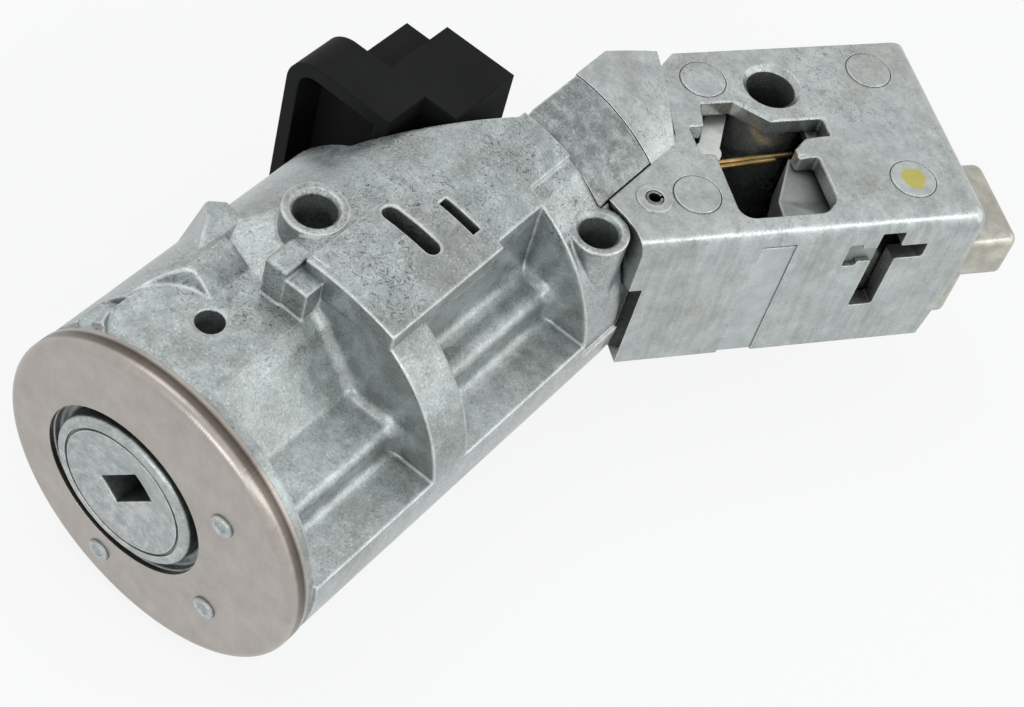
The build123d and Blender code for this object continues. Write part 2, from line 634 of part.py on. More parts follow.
def lock_box():
    body = upright(box_outline(), BOX_BOTTOM, BOX_TOP)
    near_corner = [e for e in edges_near(body, Axis.Z)
                   if (boxed_inverse(e.center()) - Vector(BOX_END, BOX_NEAR, e.center().Z)).length < 0.5]
    body = fillet(near_corner, BOX_ROUND * 0.6)
    top_near = [e for e in body.faces().sort_by(Axis.Z)[-1].edges()
                if abs((boxed_inverse(e.center())).Y - BOX_NEAR) < 0.2 and e.length > 20]
    body = fillet(top_near, BOX_ROUND)
    # Collar at the rear of the barrel
    hump = rod(0, 0, HUMP_R, BARREL_END, BARREL_END + 30)
    hump &= boxed(block(-BIG, HUMP_END, -BIG, HUMP_FAR, -BIG, BIG))
    hump &= block(HUMP_EDGE_X, BIG, 0, BIG * 2, -BIG, BIG)
    inside = rod(0, 0, HUMP_R - CAST_WALL, BARREL_END - 1, BIG * 2)
    inside &= boxed(block(-BIG, HUMP_END - CAST_WALL, -BIG, HUMP_FAR - CAST_WALL, -BIG, BIG))
    inside &= block(HUMP_EDGE_X + CAST_WALL, BIG, 0, BIG * 2, -BIG, BOX_TOP - BOX_WALL)
    body = body + hump - inside
    # Room inside
    room = boxed(upright(cavity_outline(0.0), BOX_BOTTOM - 1, BOX_TOP - BOX_WALL))
    room += boxed(post(PIN_U, PIN_W, LEVER_R + 0.35, COIL_LOW - 1, BOX_TOP - BOX_WALL))
    room -= boxed(post(HOLE_D_U, HOLE_D_W, HOLE_D_POST_R, BOX_BOTTOM + BOX_FLOOR_T + 0.1, BOX_TOP))
    lane_r = BOLT_SPRING_R + BOLT_SPRING_WIRE / 2 + BOLT_GAP
    room += boxed(block(BOLT_SPRING_START, BOLT_BACK, BOLT_SPRING_W - lane_r, BOLT_SPRING_W + lane_r,
                        BOX_BOTTOM + BOX_FLOOR_T + 0.1, BOLT_SPRING_Z + lane_r))
    ledge = [(RIB_FOOT_U, BOX_NEAR), (RIB_FOOT_U, RIB_FOOT_W), (RIB_TOP_U, RIB_TOP_W),
             (LEDGE_END_U, RIB_TOP_W), (LEDGE_END_U, BOX_NEAR)]
    slope = [(BOX_NEAR, LEDGE_LOW), (BOX_NEAR, LEDGE_TOP), (RIB_TOP_W, LEDGE_FAR_TOP), (RIB_TOP_W, LEDGE_LOW)]
    side = [(LEDGE_END_U - BIG, w, z) for w, z in slope]
    ramp = extrude(make_face(Polyline(*side, close=True)), amount=BIG, dir=(1, 0, 0))
    room -= boxed(ramp & upright(ledge, LEDGE_LOW, LEDGE_TOP))
    room -= boxed(bar_between(RIB_FOOT_U, BOX_NEAR, RIB_FOOT_U, RIB_FOOT_W, RIB_T, LEDGE_LOW, RIB_Z))
    room -= boxed(bar_between(RIB_FOOT_U, RIB_FOOT_W, RIB_TOP_U, RIB_TOP_W, RIB_T, LEDGE_LOW, RIB_Z))
    guide = block(BOLT_BACK - 1, BOX_END, BOLT_FAR + BOLT_GAP, BOLT_FAR + BOLT_GAP + STOP_RIB_T,
                  BOX_BOTTOM + BOX_FLOOR_T + 0.1, PLATE_TOP - PLATE_T - 0.3)
    room -= boxed(guide)
    body -= room
    port = block(BOX_END - 10, BOX_END + 10, BOX_NEAR + BOX_WALL, BOLT_FAR + BOLT_GAP,
                 BOX_BOTTOM + BOX_FLOOR_T, BOLT_TOP + BOLT_GAP)
    body -= boxed(port)
    lane = block(BOX_START - 10, BOX_START + 10, ROD_NEAR - ROD_GAP, ROD_FAR + ROD_GAP, ROD_LOW - ROD_GAP,
                 ROD_TOP + ROD_GAP)
    body -= boxed(lane)
    # Gap beside hole C's boss
    body -= boxed(block(BOX_START - 20, BOX_NOTCH_START, BOX_NEAR - 10, BOX_NEAR + BOX_WALL + 0.5,
                        BOX_BOTTOM - 1, BOX_NOTCH_TOP))
    body -= post(HOLE_C_X, HOLE_C_Y, BOSS_C_R + SEAM_GAP, BOX_BOTTOM - 1, BOX_TOP + 1)
    # Openings in the top
    opening = make_face(Polyline(*window_outline(), close=True))
    opening = fillet([v for v in opening.vertices() if v.Y > WIN_NEAR + WIN_CORNER + 0.5], WIN_ROUND)
    opening = fillet([v for v in opening.vertices() if v.Y < WIN_NEAR + WIN_CORNER + 0.5], WIN_CORNER)
    body -= boxed(extrude(opening, amount=BIG))
    body -= boxed(extrude(Pos(0, 0, BOX_TOP - WIN_CHAMFER) * opening, amount=WIN_CHAMFER * 2, taper=-45))
    for u, w in STAKES.values():
        body -= boxed(post(u, w, STAKE_HOLE_R, BOX_TOP - BOX_WALL - 1, BIG))
    body -= boxed(post(HOLE_D_U, HOLE_D_W, HOLE_D_R, BOX_BOTTOM - 1, BIG))
    body -= boxed(countersink(HOLE_D_U, HOLE_D_W, BOX_TOP, HOLE_D_R, HOLE_D_CHAMFER))
    ring = boxed(post(PIN_U, PIN_W, PIN_BOSS_R, BOX_TOP - 1, BOX_TOP + PIN_BOSS_H))
    body += ring
    body -= boxed(post(PIN_U, PIN_W, PIN_R + 0.01, BOX_BOTTOM, BIG))
    # Side wall: shallow strip and the cross-shaped opening
    body -= boxed(block(STRIP_START, STRIP_END, BOX_NEAR - 1, BOX_NEAR + STRIP_DEPTH, BOX_BOTTOM - 1,
                        BOX_TOP - BOX_ROUND))
    bar_left = CROSS_U - CROSS_BAR_LEN / 2
    cross = block(bar_left, bar_left + CROSS_BAR_LEN, -BIG, BOX_NEAR + BOX_WALL + 0.1,
                  CROSS_Z - CROSS_BAR_H / 2, CROSS_Z + CROSS_BAR_H / 2)
    cross += block(CROSS_U - CROSS_POST_W / 2, CROSS_U + CROSS_POST_W / 2, -BIG, BOX_NEAR + BOX_WALL + 0.1,
                   CROSS_POST_LOW, CROSS_POST_TOP)
    cross += block(bar_left, bar_left + CROSS_KNOB_W, -BIG, BOX_NEAR + BOX_WALL + 0.1,
                   CROSS_Z - CROSS_KNOB_H / 2, CROSS_Z + CROSS_KNOB_H / 2)
    body -= boxed(fillet(edges_near(cross, Axis.Y), CROSS_ROUND))
    # The end of the side wall leans back below the top
    lean = [(BOX_END + 0.1, CROSS_Z), (BOX_END - LEAN_BACK, BOX_BOTTOM - 0.1),
            (BOX_END + 5, BOX_BOTTOM - 0.1), (BOX_END + 5, CROSS_Z)]
    slope = make_face(Polyline(*[(u, BOX_NEAR - 1, z) for u, z in lean], close=True))
    body -= boxed(extrude(slope, amount=BOX_WALL + 1.1, dir=(0, 1, 0)))
    return body


def boxed_inverse(point):
    """A point's place in the lock box's own frame."""
    return Vector(*point).rotate(Axis.Z, -BOX_TURN)


def lock_box_base():
    plate = upright(cavity_outline(0.1), BOX_BOTTOM, BOX_BOTTOM + BOX_FLOOR_T)
    plate += block(BOLT_SPRING_START - STOP_RIB_T, BOLT_SPRING_START, ROD_FAR + 1.2, CUT_W + 2,
                   BOX_BOTTOM, BOLT_SPRING_Z + BOLT_SPRING_R + 1)
    plate -= post(HOLE_D_U, HOLE_D_W, HOLE_D_R, -BIG, BIG)
    plate -= block(BOX_START - 10, BOX_NOTCH_START + 0.3, BOX_NEAR - 5, BOX_NEAR + BOX_WALL + 0.8, -BIG, BIG)
    shape = boxed(plate)
    return shape - block(-BIG, SEAM_X + 0.3, 0, BARREL_END + CAST_WALL, -BIG, BIG)


def guide_plate():
    plate = block(PLATE_START, PLATE_END, PLATE_NEAR, PLATE_FAR, PLATE_TOP - PLATE_T, PLATE_TOP)
    plate = fillet(edges_near(plate, Axis.Z), PLATE_ROUND)
    for u, w in STAKES.values():
        plate -= post(u, w, STAKE_STEM_R + 0.05, -BIG, BIG)
    plate -= post(HOLE_D_U, HOLE_D_W, HOLE_D_POST_R + 0.2, -BIG, BIG)
    return boxed(plate)


def box_rivet(u, w):
    stake = post(u, w, STAKE_R, PLATE_TOP + 0.05, BOX_TOP + STAKE_PROUD)
    stake = chamfer(stake.faces().sort_by(Axis.Z)[-1].edges(), STAKE_PROUD)
    foot = PLATE_TOP - STAKE_FOOT
    if u > PLATE_START:
        foot -= PLATE_T
    stake += post(u, w, STAKE_STEM_R, foot, PLATE_TOP + 1)
    return boxed(stake)


def roll_pin():
    pin = post(PIN_U, PIN_W, PIN_R, PIN_BOTTOM, PIN_TOP)
    pin = chamfer(pin.edges().filter_by(GeomType.CIRCLE), 0.2)
    pin -= post(PIN_U, PIN_W, PIN_BORE_R, -BIG, BIG)
    pin -= block(PIN_U, PIN_U + 5, PIN_W - PIN_SLIT / 2, PIN_W + PIN_SLIT / 2, -BIG, BIG)
    return boxed(pin)


def bar_between(u0, w0, u1, w1, width, z0, z1):
    length = math.hypot(u1 - u0, w1 - w0)
    turn = math.degrees(math.atan2(w1 - w0, u1 - u0))
    bar = Pos((u0 + u1) / 2, (w0 + w1) / 2, (z0 + z1) / 2) * Rot(0, 0, turn) * Box(length, width, z1 - z0)
    return bar + post(u0, w0, width / 2, z0, z1) + post(u1, w1, width / 2, z0, z1)


def blocking_lever():
    top = LEVER_LOW + LEVER_T
    lever = post(PIN_U, PIN_W, LEVER_R, LEVER_LOW, top)
    lever += bar_between(PIN_U, PIN_W, LEVER_END_U, LEVER_END_W, LEVER_W * 1.3, LEVER_LOW, top)
    lever += bar_between(LEVER_END_U, LEVER_END_W, LEVER_TIP_U, LEVER_TIP_W, LEVER_W, LEVER_LOW, top)
    lever -= post(PIN_U, PIN_W, PIN_R + 0.06, -BIG, BIG)
    return boxed(lever)


def strand(start, end):
    """A straight length of the spring's wire."""
    run = Vector(*end) - Vector(*start)
    return Plane(origin=start, z_dir=run) * Pos(0, 0, run.length / 2) * Cylinder(WIRE_R, run.length)


def lever_spring():
    """A coil round the roll pin with two straight legs that lie along the window."""
    rise = COIL_PITCH * COIL_TURNS
    coil = Pos(PIN_U, PIN_W, COIL_LOW) * spring(COIL_R, WIRE_R * 2, COIL_PITCH, rise)
    leave = math.radians(360.0 * COIL_TURNS)
    gap = WIRE_R * 1.3
    top = (PIN_U + COIL_R * math.cos(leave) + gap * 0.8, PIN_W + COIL_R * math.sin(leave) + gap * 0.6,
           COIL_LOW + rise)
    knee = (WIRE_KNEE_U, WIRE_KNEE_W, WIRE_LEG_Z)
    upper = strand(top, knee) + strand(knee, (WIRE_LEG_END_U, WIRE_LEG_W, WIRE_LEG_Z))
    side = WIRE_R * 2 + 0.05
    low = (PIN_U + COIL_R + gap, PIN_W, COIL_LOW)
    knee = (WIRE_KNEE_U, WIRE_KNEE_W - side, WIRE_LEG_Z)
    lower = strand(low, knee) + strand(knee, (WIRE_ANCHOR_U, WIRE_LEG_W - side, WIRE_LEG_Z))
    return Compound(children=[boxed(coil), boxed(upper), boxed(lower)])


def lock_bolt():
    upper = block(BOLT_BACK, BOLT_TIP, BOLT_NEAR, BOLT_FAR, BOLT_MID, BOLT_TOP)
    tip = upper.faces().sort_by(Axis.X)[-1].edges()
    long_edges = upper.faces().sort_by(Axis.Z)[-1].edges().filter_by(Axis.X)
    upper = fillet(tip + long_edges, BOLT_ROUND)
    lower = block(BOLT_BACK, BOLT_STEP_TIP, BOLT_NEAR, BOLT_FAR, BOLT_LOW, BOLT_MID + 0.01)
    step = lower.faces().sort_by(Axis.X)[-1]
    lower = fillet(step.edges().filter_by(Axis.Z), BOLT_ROUND)
    return boxed(upper + lower)


def bolt_slider():
    bar = boxed(block((YOKE_Y - ROD_FAR * math.sin(LEAN)) / math.cos(LEAN) + 0.5, BOLT_BACK - 0.02,
                      ROD_NEAR, ROD_FAR, ROD_LOW, ROD_TOP))
    yoke = block(YOKE_X0, YOKE_X1, YOKE_Y - YOKE_T / 2, YOKE_Y + YOKE_T / 2, YOKE_LOW, YOKE_TOP)
    slot_top = STUD_Z + STUD_R + SLOT_CLEAR
    slot_low = LOCK_Z - CRANK_R - STUD_R - SLOT_CLEAR
    yoke -= block(STUD_X - STUD_R - SLOT_CLEAR, STUD_X + STUD_R + SLOT_CLEAR, 0, BIG, slot_low, slot_top)
    return bar + yoke


def bolt_spring():
    length = BOLT_BACK - BOLT_SPRING_START - BOLT_SPRING_WIRE - 0.1
    coil = spring(BOLT_SPRING_R, BOLT_SPRING_WIRE, length / BOLT_SPRING_TURNS, length)
    return boxed(Pos(BOLT_SPRING_START + BOLT_SPRING_WIRE / 2 + 0.05, BOLT_SPRING_W, BOLT_SPRING_Z)
                 * Rot(0, 90, 0) * coil)


def collar_plate():
    panel = half_ring(COLLAR_R, COLLAR_SEAT_R + 0.05, COLLAR_START + COLLAR_GAP, BARREL_END - COLLAR_GAP)
    panel = chamfer([panel.edges().filter_by(GeomType.CIRCLE).group_by(Axis.Y)[0].sort_by(SortBy.RADIUS)[-1]],
                    COLLAR_BEVEL, COLLAR_BEVEL * 0.6)
    return panel & block(REAR_X + COLLAR_GAP, SEAM_X - COLLAR_GAP, 0, BIG * 2, 0, BIG)


def on_lock_axis(shape):
    """Place a shape drawn round the Y axis on the lock's axis."""
    return Pos(LOCK_X, 0, LOCK_Z) * shape


def key_rotor():
    body = rod(0, 0, ROTOR_FACE_R, ROTOR_FACE_START, ROTOR_FACE_END)
    body = fillet(body.faces().sort_by(Axis.Y)[0].edges(), ROTOR_RIM_ROUND)
    body += rod(0, 0, PLUG_R, ROTOR_FACE_END - 1, CLIP_SEAT)
    body += rod(0, 0, CLIP_GROOVE_R, CLIP_SEAT - 1, CLIP_SEAT + CLIP_W + 0.1)
    body += rod(0, 0, PLUG_NECK_R, CLIP_SEAT, PLUG_NECK_END)
    groove = rod(0, 0, DISH_R, ROTOR_FACE_START - 1, ROTOR_FACE_START + GROOVE_DEPTH)
    groove -= rod(0, 0, DISH_R - GROOVE_W, ROTOR_FACE_START - 1, ROTOR_FACE_START + GROOVE_DEPTH)
    body -= groove
    dish = Pos(0, ROTOR_FACE_START + DISH_DEPTH / 2, 0) * Rot(-90, 0, 0) * Cone(
        DISH_R - GROOVE_W, KEYWAY_LEN / 2, DISH_DEPTH)
    body -= dish
    mouth = Pos(0, ROTOR_FACE_START, 0) * Box(KEYWAY_LEN, KEYWAY_STEP * 2, KEYWAY_W)
    slot = Pos(0, SLOT_END / 2, 0) * Box(SLOT_LEN, SLOT_END, SLOT_W)
    turn = Rot(0, -KEYWAY_TURN, 0)
    body -= turn * (mouth + slot)
    for i in range(WAFER_COUNT):
        y = WAFER_FIRST + i * WAFER_PITCH
        gap = WAFER_T + WAFER_GAP
        body -= turn * (Pos(0, y, 0) * Box(PLUG_R * 3, gap, WAFER_W + WAFER_GAP) & rod(
            0, 0, PLUG_R + 0.5, y - gap, y + gap))
    return on_lock_axis(body)


def wafer(index):
    y = WAFER_FIRST + index * WAFER_PITCH
    plate = Box(BIG, WAFER_T, WAFER_W) & rod(0, 0, WAFER_TIP_R, -WAFER_T, WAFER_T)
    plate -= Box(SLOT_LEN + 0.8, WAFER_T * 2, WAFER_WINDOW_W)
    return on_lock_axis(Rot(0, -KEYWAY_TURN, 0) * (Pos(0, y, 0) * plate))


def wafer_set():
    return Compound(children=[wafer(i) for i in range(WAFER_COUNT)])


def cylinder_sleeve():
    tube = rod(0, 0, SLEEVE_R, SLEEVE_START, SLEEVE_END) - rod(0, 0, PLUG_R + PLUG_CLEAR, 0, BIG)
    return on_lock_axis(tube)


def rotor_clip():
    ring = rod(0, 0, CLIP_R, CLIP_SEAT + 0.05, CLIP_SEAT + CLIP_W) - rod(0, 0, CLIP_GROOVE_R + 0.02, 0, BIG)
    ring -= block(-1.4, 1.4, 0, BIG, 0, BIG)
    return on_lock_axis(ring)


def drive_cam():
    hub = rod(0, 0, CAM_R, CAM_START, CAM_END) - rod(0, 0, PLUG_NECK_R + 0.02, 0, PLUG_NECK_END + 0.2)
    stud = rod(STUD_X - LOCK_X, STUD_Z - LOCK_Z, STUD_R, CAM_END - 1, STUD_END)
    stud = chamfer(stud.faces().sort_by(Axis.Y)[-1].edges(), 0.5)
    return on_lock_axis(hub + stud)


def contact_drum():
    drum = rod(0, 0, DRUM_R, DRUM_START, DRUM_END) + rod(0, 0, DRUM_AXLE_R, DRUM_END - 1, DRUM_AXLE_END)
    hole_y = STUD_END + 0.5
    drum -= rod(STUD_X - LOCK_X, STUD_Z - LOCK_Z, STUD_R + DRUM_HOLE_CLEAR, 0, hole_y)
    for y in CONTACT_YS:
        drum -= rod(0, 0, BIG, y, y + CONTACT_W) - rod(0, 0, DRUM_R - CONTACT_T, y - 1, y + CONTACT_W + 1)
    return on_lock_axis(drum)


def contact_band(y):
    band = rod(0, 0, DRUM_R, y + 0.02, y + CONTACT_W - 0.02) - rod(0, 0, DRUM_R - CONTACT_T + 0.02, 0, BIG)
    return on_lock_axis(band - block(-BIG, BIG, 0, BIG * 2, -BIG, -2.0))


def terminal_box(index, grow):
    z = TERMINAL_FIRST_Z - index * TERMINAL_PITCH
    return block(TERMINAL_X - TERMINAL_T / 2 - grow, TERMINAL_X + TERMINAL_T / 2 + grow, TERMINAL_ROOT - grow,
                 TERMINAL_END, z - TERMINAL_W / 2 - grow, z + TERMINAL_W / 2 + grow)


def terminal(index):
    blade = terminal_box(index, 0.0)
    return chamfer(blade.faces().sort_by(Axis.Y)[-1].edges().filter_by(Axis.Z), TERMINAL_T * 0.3)


def switch_body():
    hood = block(HOOD_X0, HOOD_X1, HOOD_Y0, HOOD_Y1, HOOD_LOW, HOOD_TOP)
    corner = hood.edges().filter_by(Axis.Y).sort_by(lambda e: e.center().X - e.center().Z)[0]
    hood = fillet(corner, HOOD_ROUND)
    mouth = block(HOOD_X0 + HOOD_WALL, HOOD_X1 + 1, HOOD_Y0 - 1, HOOD_Y1 - HOOD_WALL, HOOD_LOW + HOOD_WALL,
                  HOOD_TOP - HOOD_WALL)
    corner = mouth.edges().filter_by(Axis.Y).sort_by(lambda e: e.center().X - e.center().Z)[0]
    hood -= fillet(corner, HOOD_ROUND - HOOD_WALL)
    body = hood + block(HOOD_X1 - HOOD_WALL, HOOD_X1, HOOD_Y0, HOOD_Y1, 10.0, HOOD_TOP)
    case = block(BLOCK_X0, BLOCK_X1, HOOD_Y1 - 0.5, BLOCK_Y1, BLOCK_LOW, BLOCK_TOP)
    case += block(PLUG_X0, BLOCK_X0 + 1, HOOD_Y1 - 0.5, PLUG_Y1, PLUG_LOW, PLUG_TOP)
    case += rod(LOCK_X, LOCK_Z, DRUM_CASE_R, DRUM_CASE_START, DRUM_CASE_END)
    case -= rod(LOCK_X, LOCK_Z, DRUM_R + DRUM_CLEAR, DRUM_START - DRUM_CLEAR * 2, DRUM_END + DRUM_CLEAR * 2)
    case -= rod(LOCK_X, LOCK_Z, DRUM_AXLE_R + DRUM_CLEAR, DRUM_END - 1, DRUM_AXLE_END + 0.3)
    case -= rod(LOCK_X, LOCK_Z, CRANK_R + STUD_R + STUD_ROOM, HOOD_Y0, DRUM_START)
    case -= block(PLUG_X0 + BLOCK_WALL, BLOCK_X0 + 0.6, TERMINAL_START, BIG * 2, PLUG_LOW + BLOCK_WALL,
                  PLUG_TOP - BLOCK_WALL)
    for index in range(TERMINAL_COUNT):
        case -= terminal_box(index, 0.02)
    return body + case


def export(name, shape):
    export_step(shape, os.path.join("parts", name + ".step"))


PARTS = {
    "main_housing": main_housing,
    "front_cover_ring": cover_ring,
    "lock_box": lock_box,
    "lock_box_base": lock_box_base,
    "guide_plate": guide_plate,
    "roll_pin": roll_pin,
    "blocking_lever": blocking_lever,
    "lever_spring": lever_spring,
    "lock_bolt": lock_bolt,
    "bolt_slider": bolt_slider,
    "bolt_spring": bolt_spring,
    "key_rotor": key_rotor,
    "wafer_set": wafer_set,
    "cylinder_sleeve": cylinder_sleeve,
    "rotor_clip": rotor_clip,
    "drive_cam": drive_cam,
    "collar_plate": collar_plate,
    "contact_drum": contact_drum,
    "switch_body": switch_body,
}

os.makedirs("parts", exist_ok=True)
for name, make in PARTS.items():
    shape = make()
    export(name, shape)
for name, (x, z) in COVER_RIVETS.items():
    export("cover_rivet_" + name, cover_rivet(x, z))
for name, (u, w) in STAKES.items():
    export("box_rivet_" + name, box_rivet(u, w))
for index, y in enumerate(CONTACT_YS):
    export("contact_band_" + str(index + 1), contact_band(y))
for index in range(TERMINAL_COUNT):
    export("terminal_" + str(index + 1), terminal(index))
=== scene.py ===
import json
import math

import bmesh
import bpy
from mathutils import Matrix, Vector


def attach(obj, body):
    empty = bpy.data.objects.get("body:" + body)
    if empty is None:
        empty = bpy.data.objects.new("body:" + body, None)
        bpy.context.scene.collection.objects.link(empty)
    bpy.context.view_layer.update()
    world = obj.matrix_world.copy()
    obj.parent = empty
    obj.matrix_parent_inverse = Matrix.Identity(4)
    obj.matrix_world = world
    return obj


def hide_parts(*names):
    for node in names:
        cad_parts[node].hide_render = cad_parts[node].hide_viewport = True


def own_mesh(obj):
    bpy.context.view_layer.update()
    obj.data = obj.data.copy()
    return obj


MM = 0.001
BOX_TURN = math.radians(54.0)       # the lock box lies at this turn about Z

# Sizes and places of the scene's own forms, in millimetres
STAKE_PLACE = (47.9, 120.6, 20.1)   # the staked head that carries a dab of paint
PAD_LEFT = -2.0
PAD_RIGHT = 14.4
PAD_START = 30.55
PAD_END = 55.0
PAD_MIDDLE = 1.0                    # the pad is highest at this X
PAD_CREST = 27.28
PAD_CURVE = 0.0118                  # how fast the pad's top falls to either side
PAD_FOOT = 22.0                     # the pad's walls run down to here, inside the casting
PAD_STRIPS = 16                     # flat strips that make the pad's curve
ROUND_SLOT = (0.3, 7.9, 46.0, 2.8, 10)    # start, end, place along Y, width, segments of each end
SQUARE_SLOT = (3.6, 10.4, 53.5, 1.8, 0)
WEB_TOP = 16.9
WEB_CREST = ((108.0, 40.6), (103.2, 32.1), (102.6, 24.6))    # along and across the lock box
WEB_FALL_END = 119.0
WEB_FALL = ((40.6, 12.6), (32.1, 14.6), (24.6, 16.2))        # across the lock box, and height
WEB_FOOT = 8.0
STRIP_START = 97.65
STRIP_END = 103.55
STRIP_FACE = 23.72                  # just inside the near wall's face
STRIP_BACK = 24.4
STRIP_TOP = 16.0
STRIP_FOOT = -9.6
WELD = 0.001                        # vertices closer than this are one
FLOOR_LEVEL = -27.5                 # just under the cover ring's rim

# Sizes of the patterns, in millimetres. The real grain and hair scratches are finer: they are drawn as
# coarse as they need to be to show.
CLOUD_SIZE = 16.0
TINGE_SIZE = 11.0
CURL_SIZE = 2.1                     # the bends of the hair scratches
GRAIN_SIZE = 0.36
NYLON_CLOUD_SIZE = 9.0
NYLON_GRAIN_SIZE = 0.5
SWELL_HEIGHT = 0.12
GRAIN_HEIGHT = 0.05
CORNER_SHADE_REACH = 2.2                  # how far the painted shade reaches out of a corner
HOLLOW_SHADE_REACH = 9.0                  # walls this near paint shade into a hollow
SCRATCHED_FROM = 15.0               # hair scratches start at this height and are full at the next
SCRATCHED_FULL = 20.0
DAB_FRINGE = 1.6                    # how ragged a dab of paint is

# Colours of what use and casting leave on the metals, and of painted glints and edge highlights
PIT = "454B4D"
GLINT = "EDF1F1"
SCRATCH = "3A3F40"
EDGE_WEAR_HIGHLIGHT = "F4F6F5"

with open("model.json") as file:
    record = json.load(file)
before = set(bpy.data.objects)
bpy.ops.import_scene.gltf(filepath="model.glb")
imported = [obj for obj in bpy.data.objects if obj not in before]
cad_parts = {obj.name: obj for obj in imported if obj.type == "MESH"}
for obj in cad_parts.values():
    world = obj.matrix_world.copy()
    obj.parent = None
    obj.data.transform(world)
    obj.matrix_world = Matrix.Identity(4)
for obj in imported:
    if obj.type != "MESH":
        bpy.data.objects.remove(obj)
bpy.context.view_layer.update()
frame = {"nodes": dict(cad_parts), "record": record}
nodes = frame["nodes"]


# Colours and node helper

def linear(hex_colour):
    """An sRGB hex colour as linear RGBA."""
    parts = [int(hex_colour[i:i + 2], 16) / 255.0 for i in (0, 2, 4)]
    return tuple(p / 12.92 if p <= 0.04045 else ((p + 0.055) / 1.055) ** 2.4 for p in parts) + (1.0,)


def grey(value):
    """A linear grey as RGBA."""
    return (value, value, value, 1.0)


def add_node(tree, kind, settings=None, links=None):
    """One shader node with its settings and its links; stops are the places and colours of a ramp."""
    node = tree.nodes.new(kind)
    for key, value in (settings or {}).items():
        if key == "stops":
            elements = node.color_ramp.elements
            elements.remove(elements[1])
            elements[0].position, elements[0].color = value[0]
            for position, colour in value[1:]:
                elements.new(position).color = colour
        elif isinstance(key, int) or key in node.inputs.keys():
            node.inputs[key].default_value = value
        else:
            setattr(node, key, value)
    for key, source in (links or {}).items():
        tree.links.new(source, node.inputs[key])
    return node


def new_surface(name):
    """An empty material, its tree and its shader."""
    material = bpy.data.materials.new(name)
    material.use_nodes = True
    return material, material.node_tree, material.node_tree.nodes["Principled BSDF"]


# Metals, in layers that each take the colour so far and give the next

def mottled(tree, place, clouds, spots, tones, tinge):
    """Cloudy tones of a cast or rolled skin, with another colour's tinge in patches."""
    level = add_node(tree, "ShaderNodeMath", {"operation": "MULTIPLY_ADD", 1: 0.3}, {0: clouds, 2: spots})
    stops = [(0.48, linear(tones[0])), (0.65, linear(tones[1])), (0.8, linear(tones[2]))]
    colour = add_node(tree, "ShaderNodeValToRGB", {"stops": stops},
                      {"Fac": level.outputs["Value"]}).outputs["Color"]
    if not tinge:
        return colour
    patch = add_node(tree, "ShaderNodeTexNoise",
                     {"Scale": 1 / (TINGE_SIZE * MM), "Detail": 4.0, "Distortion": 0.6}, {"Vector": place})
    reach = add_node(tree, "ShaderNodeMapRange", {"From Min": 0.44, "From Max": 0.66, "To Max": 0.65},
                     {"Value": patch.outputs["Fac"]})
    return add_node(tree, "ShaderNodeMix",
                    {"data_type": "RGBA", "blend_type": "MULTIPLY", "B": linear(tinge)},
                    {"Factor": reach.outputs["Result"], "A": colour}).outputs["Result"]


def speckled(tree, colour, grain, specks):
    """Pits of the skin, and bright points painted as glints."""
    for low, high, tone in ((0.54, 0.68, PIT), (0.42, 0.3, GLINT)):
        points = add_node(tree, "ShaderNodeMapRange", {"From Min": low, "From Max": high, "To Max": specks},
                          {"Value": grain})
        colour = add_node(tree, "ShaderNodeMix", {"data_type": "RGBA", "B": linear(tone)},
                          {"Factor": points.outputs["Result"], "A": colour}).outputs["Result"]
    return colour


def painted_reflection(tree, colour, depth, reflection_bands):
    """Painted reflection as tones by depth: reflection_bands are the depth that they cover and their
    (place, tone) stops.
    """
    reach, tones = reflection_bands
    share = add_node(tree, "ShaderNodeMapRange", {"From Max": reach * MM}, {"Value": depth})
    reflection_band = add_node(tree, "ShaderNodeValToRGB",
                    {"stops": [(place / reach, linear(tone)) for place, tone in tones]},
                    {"Fac": share.outputs["Result"]})
    return add_node(tree, "ShaderNodeMix", {"data_type": "RGBA", "blend_type": "MULTIPLY", "Factor": 1.0},
                    {"A": colour, "B": reflection_band.outputs["Color"]}).outputs["Result"]


def scratched(tree, colour, place, height, clouds, hairs):
    """Dark curved hair scratches on the upper surfaces, in patches."""
    curl = add_node(tree, "ShaderNodeTexNoise",
                    {"Scale": 1 / (CURL_SIZE * MM), "Detail": 2.0, "Distortion": 2.2}, {"Vector": place})
    centred = add_node(tree, "ShaderNodeMath", {"operation": "SUBTRACT", 1: 0.5}, {0: curl.outputs["Fac"]})
    away = add_node(tree, "ShaderNodeMath", {"operation": "ABSOLUTE"}, {0: centred.outputs["Value"]})
    line = add_node(tree, "ShaderNodeMapRange",
                    {"From Min": 0.004, "From Max": 0.024, "To Min": 1.0, "To Max": 0.0},
                    {"Value": away.outputs["Value"]})
    patch = add_node(tree, "ShaderNodeMapRange", {"From Min": 0.42, "From Max": 0.58, "To Max": hairs},
                     {"Value": clouds})
    upper = add_node(tree, "ShaderNodeMapRange",
                     {"From Min": SCRATCHED_FROM * MM, "From Max": SCRATCHED_FULL * MM}, {"Value": height})
    drawn = add_node(tree, "ShaderNodeMath", {"operation": "MULTIPLY"},
                     {0: patch.outputs["Result"], 1: upper.outputs["Result"]})
    scratch = add_node(tree, "ShaderNodeMath", {"operation": "MULTIPLY"},
                       {0: drawn.outputs["Value"], 1: line.outputs["Result"]})
    return add_node(tree, "ShaderNodeMix", {"data_type": "RGBA", "B": linear(SCRATCH)},
                    {"Factor": scratch.outputs["Value"], "A": colour}).outputs["Result"]


